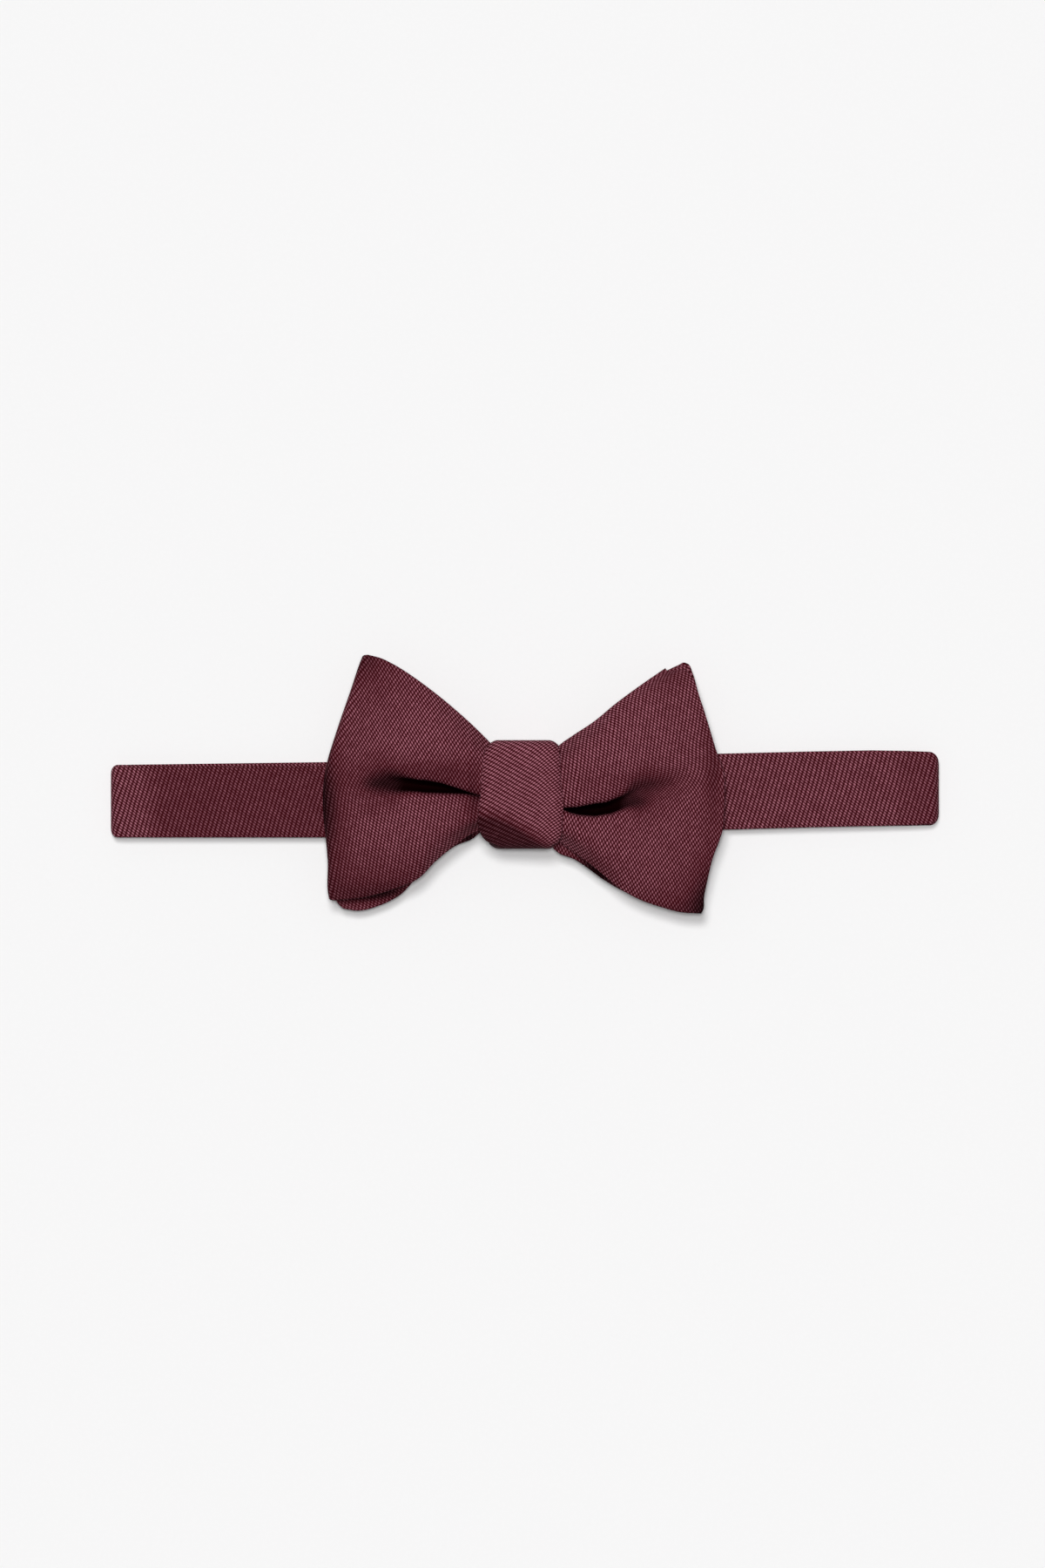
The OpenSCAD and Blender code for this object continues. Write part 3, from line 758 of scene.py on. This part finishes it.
def knot_ring(count):
    """The wrap's middle line: a soft rectangle, from the middle of the back over the lower side."""
    low, high, top, bottom = KNOT_LOW, KNOT_HIGH, 12.25, -17.65
    corner, flat = 4.6, 2.6
    line = [np.array([[KNOT_Y, low], [bottom + flat, low]])]
    line.append(bezier((bottom + flat, low), (bottom + 0.8, low), (bottom, low + 0.8), (bottom, low + flat)))
    near, far = (bottom + 5.6, high - 0.3), (top - 5.6, high - 0.3)
    line.append(bezier((bottom, high - corner), (bottom, high - 1.6), (bottom + 1.8, high - 0.7), near))
    line.append(bezier(near, (-6, high + 0.1), (0, high + 0.1), far))
    line.append(bezier(far, (top - 1.8, high - 0.7), (top, high - 1.6), (top, high - corner)))
    line.append(bezier((top, low + flat), (top, low + 0.8), (top - 0.8, low), (top - flat, low)))
    line.append(np.array([[top - flat, low], [KNOT_Y, low]]))
    return resample(np.concatenate(line), np.linspace(0, 1, count))


def facet_drop(x, y, z):
    """How far the knot's lower facet falls away from its front, below the diagonal fold."""
    below = np.clip(np.interp(x, KNOT_DIAGONAL[:, 0], KNOT_DIAGONAL[:, 1]) - y, 0, None)
    return 0.42 * below**2 / (below + 5.0) * smoothstep(7, 19, z)


def knot_grid(rows=240, count=70):
    ring = knot_ring(rows)
    ahead = np.gradient(ring, axis=0)
    ahead /= np.linalg.norm(ahead, axis=1, keepdims=True)
    inward = np.stack([ahead[:, 1], -ahead[:, 0]], axis=1)
    in_front = smoothstep(7, 12, ring[:, 1])
    left = in_front * np.interp(-ring[:, 0], -KNOT_LEFT[:, 1], KNOT_LEFT[:, 0]) + (1 - in_front) * -10.0
    right = in_front * np.interp(-ring[:, 0], -KNOT_RIGHT[:, 1], KNOT_RIGHT[:, 0]) + (1 - in_front) * 9.2
    t = edged(22, count)
    x = left[:, None] + (right - left)[:, None] * t
    turned = np.clip((np.abs(2 * t - 1) - 0.72) / 0.28, 0, 1)**2 * 1.5
    y = ring[:, 0:1] + inward[:, 0:1] * turned
    z = ring[:, 1:2] + inward[:, 1:2] * turned
    z = z - facet_drop(x, y, z)
    return np.stack([x, y, z], axis=2)


def knot_uv(mid):
    """Ribs that fall to the right, steeper at the right edge and a little less so on the lower facet."""
    arc = lengths(mid, 0)
    arc = arc - arc[mid.shape[0] // 2]
    x = mid[:, :, 0]
    level = np.clip(x - 2, 0, None)
    below = np.interp(x, KNOT_DIAGONAL[:, 0], KNOT_DIAGONAL[:, 1]) - mid[:, :, 1]
    tilt = KNOT_RIB_SLOPE - 0.12 * smoothstep(-1, 6, below)
    across = (arc + tilt * x + 0.045 * level**2) * 0.81
    along = (x - KNOT_RIB_SLOPE * arc) * 0.93
    return np.stack([across, along], axis=2)


def make_knot():
    mid = knot_grid()
    # Painted light on the knot: a painted highlight over its front, painted shade on the lower facet below
    # the diagonal fold, and painted shade where the wrap turns under at its sides.
    below = np.interp(mid[:, :, 0], KNOT_DIAGONAL[:, 0], KNOT_DIAGONAL[:, 1]) - mid[:, :, 1]
    painted_light = 1.32 - 1.06 * smoothstep(-2.6, 3.8, below)
    edge = np.abs(np.linspace(-1, 1, mid.shape[1]))
    painted_light = painted_light * (1 - 0.5 * smoothstep(0.93, 1.02, edge))
    wrap = cloth("knot_silk", mid, WRAP_THICK, knot_uv(mid), SILK, painted_light)
    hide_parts("knot_wrap")
    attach(wrap, "knot")
    make_core()
    lines = []
    for k in range(-2, 3):
        x = -1.2 + 3.6 * k
        lines.append(stitch((x - 0.9, KNOT_Y - 1.2, 3.86), (x + 0.9, KNOT_Y + 1.2, 3.86), (0, 0, -0.14)))
    sewn = threads("knot_back_stitches", lines, 0.16, THREAD)
    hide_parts("knot_stitches")
    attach(sewn, "knot")


def waist_ring(x, swell=0.0, count=96):
    """The outline of the gathered waist at x, with its pleats."""
    turn = np.arange(count) * 2 * math.pi / count
    end = 1 - (abs(x + 0.5) / 7.2)**8 * 0.35
    pleat = 1 + 0.045 * np.cos(14 * turn + 0.25 * x) * (swell == 0)
    y = KNOT_Y + (12.6 * end * pleat + swell) * np.sign(np.cos(turn)) * np.abs(np.cos(turn))**0.7
    z = 11.6 + (4.3 * end * pleat + swell) * np.sign(np.sin(turn)) * np.abs(np.sin(turn))**0.7
    z = z - 1.1 * facet_drop(np.full(count, x), y, z)
    return np.stack([np.full(count, x), y, z], axis=1)


def make_core():
    """The gathered waist of the bow inside the wrap: a pleated bundle, with the thread wound round it."""
    rings = [waist_ring(x) for x in np.linspace(-7.6, 6.6, 28)]
    points = np.concatenate(rings)
    faces = tube_faces(len(rings), len(rings[0]))
    uv = np.stack([points[:, 1], points[:, 0]], axis=1)
    # The waist is given painted shade, as it lies inside the wrap.
    core = new_mesh("gathered_waist", points, faces, SILK, uv, np.full(len(points), 0.6))
    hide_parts("knot_core")
    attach(core, "knot")
    turns = [waist_ring(x, 0.7) for x in (-2.6, -1.2, 0.2)]
    wound = threads("gathering_thread", [np.concatenate([ring, ring[:2]]) for ring in turns], 0.25, THREAD)
    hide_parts("gather_thread")
    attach(wound, "knot")


# ---- Band and straps

def ribbon(line, centre, half, count=26):
    """A grid along a line of (x, z) points, with a middle line and half width at each of them."""
    line = np.asarray(line, float)
    t = edged(20, count)[None, :]
    y = centre[:, None] + half[:, None] * (2 * t - 1)
    crown = 0.16 * np.clip((np.abs(2 * t - 1) - 0.8) / 0.2, 0, 1)**2
    ahead = np.gradient(line, axis=0)
    ahead /= np.linalg.norm(ahead, axis=1, keepdims=True)
    x = line[:, 0:1] + 0 * t + ahead[:, 1:2] * crown
    z = line[:, 1:2] + 0 * t - np.abs(ahead[:, 0:1]) * crown * np.sign(line[:, 1:2] - 2.5)
    return np.stack([x, y, z], axis=2)


def band_end(side):
    """The band from under the knot out to its fold, round it and a little way back: a line and its widths."""
    out = np.linspace(0.4, FOLD_X - 0.4, 330)
    front = np.stack([out, np.full_like(out, FRONT_MID)], axis=1)
    phi = np.linspace(0, math.pi, 41)
    radius = np.interp(phi, [0, math.pi], [FOLD_RADIUS - BAND_THICK / 2, FOLD_RADIUS - STRAP_THICK / 2])
    arc = np.stack([FOLD_X + radius * np.sin(phi), FOLD_RADIUS + radius * np.cos(phi)], axis=1)
    back = np.linspace(FOLD_X - 0.3, FOLD_X - FOLD_LAP, 9)
    rear = np.stack([back, np.full_like(back, STRAP_MID)], axis=1)
    line = np.concatenate([front, arc, rear])
    thick = np.concatenate([
        np.full(len(front), BAND_THICK), np.interp(phi, [0, math.pi], [BAND_THICK, STRAP_THICK]),
        np.full(len(rear), STRAP_THICK),
    ])
    round_share = np.concatenate([np.zeros(len(front)), phi / math.pi, np.ones(len(rear))])
    if side < 0:
        front_centre = np.full(len(line), -4.8)
        half = np.full(len(line), STRAP_HALF)
        rear_centre, corner = REAR_LEFT_LEVEL, 1.4
    else:
        front_centre = np.interp(line[:, 0], [0, 57, 80, 98, 117], [-3.2, -1.9, -1.3, -0.95, -0.85])
        half = np.interp(line[:, 0], [0, 57, 98, 108, 117], [10.7, 10.8, 10.75, 10.55, 10.15])
        half = half + (STRAP_HALF - half) * smoothstep(0, 1, round_share)
        rear_centre, corner = REAR_RIGHT_LEVEL, 2.2
    half = half * (0.8 + 0.2 * smoothstep(11, 27, line[:, 0]))
    centre = front_centre + (rear_centre - front_centre) * smoothstep(0.2, 0.8, round_share)
    over = np.clip(line[:, 0] - (FOLD_X + FOLD_RADIUS - 0.5 - corner), 0, corner)
    half = half - (corner - np.sqrt(np.maximum(corner**2 - over**2, 0)))
    return line, thick, centre, half


def make_band_end(side):
    line, thick, centre, half = band_end(side)
    grid = ribbon(line, centre, half)
    along = lengths(grid, 0)
    uv = weave_uv(side * along, grid[:, :, 1]) * (0.88, 1.0)
    # Painted light along the band: on the left, painted shade except near the fold; on the right, slight
    # painted shade that deepens towards the fold.
    at_end = smoothstep(102, 110, grid[:, :, 0])
    painted_light = 0.55 + 0.45 * at_end if side < 0 else 0.93 - 0.22 * at_end
    grid[:, :, 0] *= side
    if side < 0:
        grid, uv, painted_light = grid[:, ::-1], uv[:, ::-1], painted_light[:, ::-1]
        name, body, fold = "band_left", "band_left_rear", "left_fold"
    else:
        name, body, fold = "band_right", "band_right_rear", "right_fold"
    obj = cloth(name, grid, thick, uv, SILK, painted_light)
    nodes = [fold] + (["front_band"] if side < 0 else [])
    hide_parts(*nodes)
    inside = lining(name + "_canvas", grid[:332], 0.5, CANVAS, skip=7)
    if side < 0:
        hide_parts("front_band_interlining")
    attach(inside, "knot")
    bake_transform(obj)


def on_straps(grid):
    """From places along the straps to the shared frame."""
    c, s = math.cos(STRAP_ANGLE), math.sin(STRAP_ANGLE)
    u, v = grid[..., 0], grid[..., 1]
    return np.stack([-FOLD_X + c * u - s * v, REAR_LEFT_LEVEL + s * u + c * v, grid[..., 2]], axis=-1)


def strap(name, line, thick, flip=False):
    """A strap along a line of (u, z) points."""
    line = np.asarray(line, float)
    mid = ribbon(line, np.zeros(len(line)), np.full(len(line), STRAP_HALF))
    along = lengths(mid, 0) + line[0, 0]
    uv = weave_uv(along, mid[:, :, 1])
    mid = on_straps(mid)
    if flip:
        mid, uv = mid[:, ::-1], uv[:, ::-1]
    obj = cloth(name, mid, thick, uv, SHADED_REAR_SILK)
    return obj, mid


def half_turn(u, start, end, count=15):
    """Half a turn round a bar at u, between two angles."""
    turn = np.radians(np.linspace(start, end, count))
    return np.stack([u + LOOP_RADIUS * np.cos(turn), BAR_MID + LOOP_RADIUS * np.sin(turn)], axis=1)


def rise_to_bar(u, way):
    """The strap's line up from the flat to a bar at u. Way is 1 if it comes from beyond u, or else -1."""
    flat = [(u + step * way, STRAP_MID) for step in (4, 2.6)]
    low = [(u + step * way, LOOP_LOW) for step in (2.2, 0.6)]
    return bezier(*flat, *low, 20)[1:]


def tapered(line, flat, rise):
    """The strap's thickness along a line: full on the flat, thinning up the rise, then thin."""
    thick = np.full(len(line), RETURN_THICK)
    thick[:flat] = STRAP_THICK
    thick[flat:flat + rise] = np.linspace(STRAP_THICK, RETURN_THICK, rise)
    return thick


def make_left_straps():
    run = np.stack([np.linspace(FOLD_LAP - SEAM, SLIDE_U, 190), np.full(190, STRAP_MID)], axis=1)
    obj, mid = strap("strap_left_run", run, STRAP_THICK)
    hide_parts("left_strap")
    inside = lining("strap_left_canvas", mid, 0.35, CANVAS, skip=7)
    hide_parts("left_strap_interlining")
    for piece in (obj, inside):
        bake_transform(piece)

    out = np.stack([np.linspace(SLIDE_U, HOOK_U - 4, 60), np.full(60, STRAP_MID)], axis=1)
    rise = rise_to_bar(HOOK_U, -1)
    over = half_turn(HOOK_U + BAR_HALF, -90, 90)
    back_us = np.linspace(HOOK_U + BAR_HALF - 0.5, SLIDE_U - BAR_HALF + 0.5, 70)
    back = np.stack([back_us, np.full(70, LOOP_HIGH)], axis=1)
    under = half_turn(SLIDE_U - BAR_HALF, 90, 270)
    tuck_us = np.linspace(SLIDE_U - BAR_HALF + 0.4, SLIDE_U + BAR_HALF, 6)
    tuck = np.stack([tuck_us, np.full(6, LOOP_LOW)], axis=1)
    line = np.concatenate([out, rise, over, back, under, tuck])
    obj, mid = strap("strap_left_end", line, tapered(line, len(out), len(rise)))
    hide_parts("return_strap", "strap_loop")
    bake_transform(obj)


def make_right_strap():
    end = STRAP_LENGTH - FOLD_LAP + SEAM
    run = np.stack([np.linspace(end, EYE_U + 4, 130), np.full(130, STRAP_MID)], axis=1)
    rise = rise_to_bar(EYE_U, 1)
    over = half_turn(EYE_U - BAR_HALF, 270, 90)
    rest = 1.17
    start = (EYE_U - BAR_HALF + 0.5, LOOP_HIGH)
    away = bezier(start, (EYE_U + 3, LOOP_HIGH), (EYE_U + 4.4, rest), (EYE_U + 7.5, rest), 30)
    tail = np.stack([np.linspace(EYE_U + 7.8, EYE_U + 14, 22), np.full(22, rest)], axis=1)
    line = np.concatenate([run, rise, over, away, tail])
    obj, mid = strap("strap_right", line, tapered(line, len(run), len(rise)), flip=True)
    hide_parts("right_strap", "eye_loop")
    inside = lining("strap_right_canvas", mid[:128], 0.35, CANVAS, skip=7)
    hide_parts("right_strap_interlining")
    for piece in (obj, inside):
        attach(piece, "band_right_rear")


def tack(name, node, us, z, body):
    """Rows of small stitches across a strap."""
    lines = []
    for u in us:
        for v in np.arange(-8.2, 8.3, 1.3):
            a, b = on_straps(np.array([[u, v, z], [u + 0.35, v + 1.0, z]]))
            lines.append(stitch(a, b, (0, 0, 0.1)))
    obj = threads(name, lines, 0.14, THREAD)
    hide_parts(node)
    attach(obj, body)


def paint_hardware():
    """The metal keeps its shape and gets its finish."""
    for node in ("slide_adjuster", "hook", "eye"):
        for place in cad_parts[node].material_slots:
            place.material = METAL


# ---- Camera, floor and light

def make_camera():
    data = bpy.data.cameras.new("camera")
    data.type = "ORTHO"
    data.ortho_scale = 444.4 * MM
    camera = bpy.data.objects.new("camera", data)
    camera.location = (-0.67 * MM, 0.25 * MM, 3)
    bpy.context.scene.collection.objects.link(camera)
    bpy.context.scene.camera = camera


def make_floor():
    size = 3000
    points = [(-size, -size, 0), (size, -size, 0), (size, size, 0), (-size, size, 0)]
    floor = new_mesh("floor", points, [[0, 1, 2, 3]], floor_paper("floor_paper"))


def make_sun(name, strength, tilt, heading, spread):
    """A soft distant light, tilted from overhead towards a heading, in degrees from +X."""
    data = bpy.data.lights.new(name, "SUN")
    data.energy = strength
    data.angle = math.radians(spread)
    sun = bpy.data.objects.new(name, data)
    sun.rotation_euler = (0, math.radians(tilt), math.radians(heading))
    bpy.context.scene.collection.objects.link(sun)


def make_sky(horizon, zenith):
    """White light from all round, brighter overhead."""
    world = bpy.data.worlds.new("studio")
    world.use_nodes = True
    tree = world.node_tree
    back = tree.nodes["Background"]
    way = tree.nodes.new("ShaderNodeTexCoord")
    split = tree.nodes.new("ShaderNodeSeparateXYZ")
    rise = tree.nodes.new("ShaderNodeMapRange")
    rise.inputs["To Min"].default_value = horizon
    rise.inputs["To Max"].default_value = zenith
    tree.links.new(way.outputs["Generated"], split.inputs[0])
    tree.links.new(split.outputs["Z"], rise.inputs["Value"])
    tree.links.new(rise.outputs[0], back.inputs["Strength"])
    back.inputs["Color"].default_value = (1, 1, 1, 1)
    bpy.context.scene.world = world


make_camera()
make_floor()
make_sun("overhead", 1.52, 2, 90, 8)
make_sun("key", 1.48, 15, 105, 14)
make_sky(0.08, 0.14)
bpy.context.scene.view_settings.view_transform = "Standard"

make_wings()
make_knot()
for side in (-1, 1):
    make_band_end(side)
make_left_straps()
make_right_strap()
tack("slide_tack", "bar_tack", (SLIDE_U + 2.5, SLIDE_U + 4.1), 2.66, "adjuster")
tack("eye_loop_tack", "eye_tack", (EYE_U + 8.1, EYE_U + 10.1), 1.46, "band_right_rear")
paint_hardware()
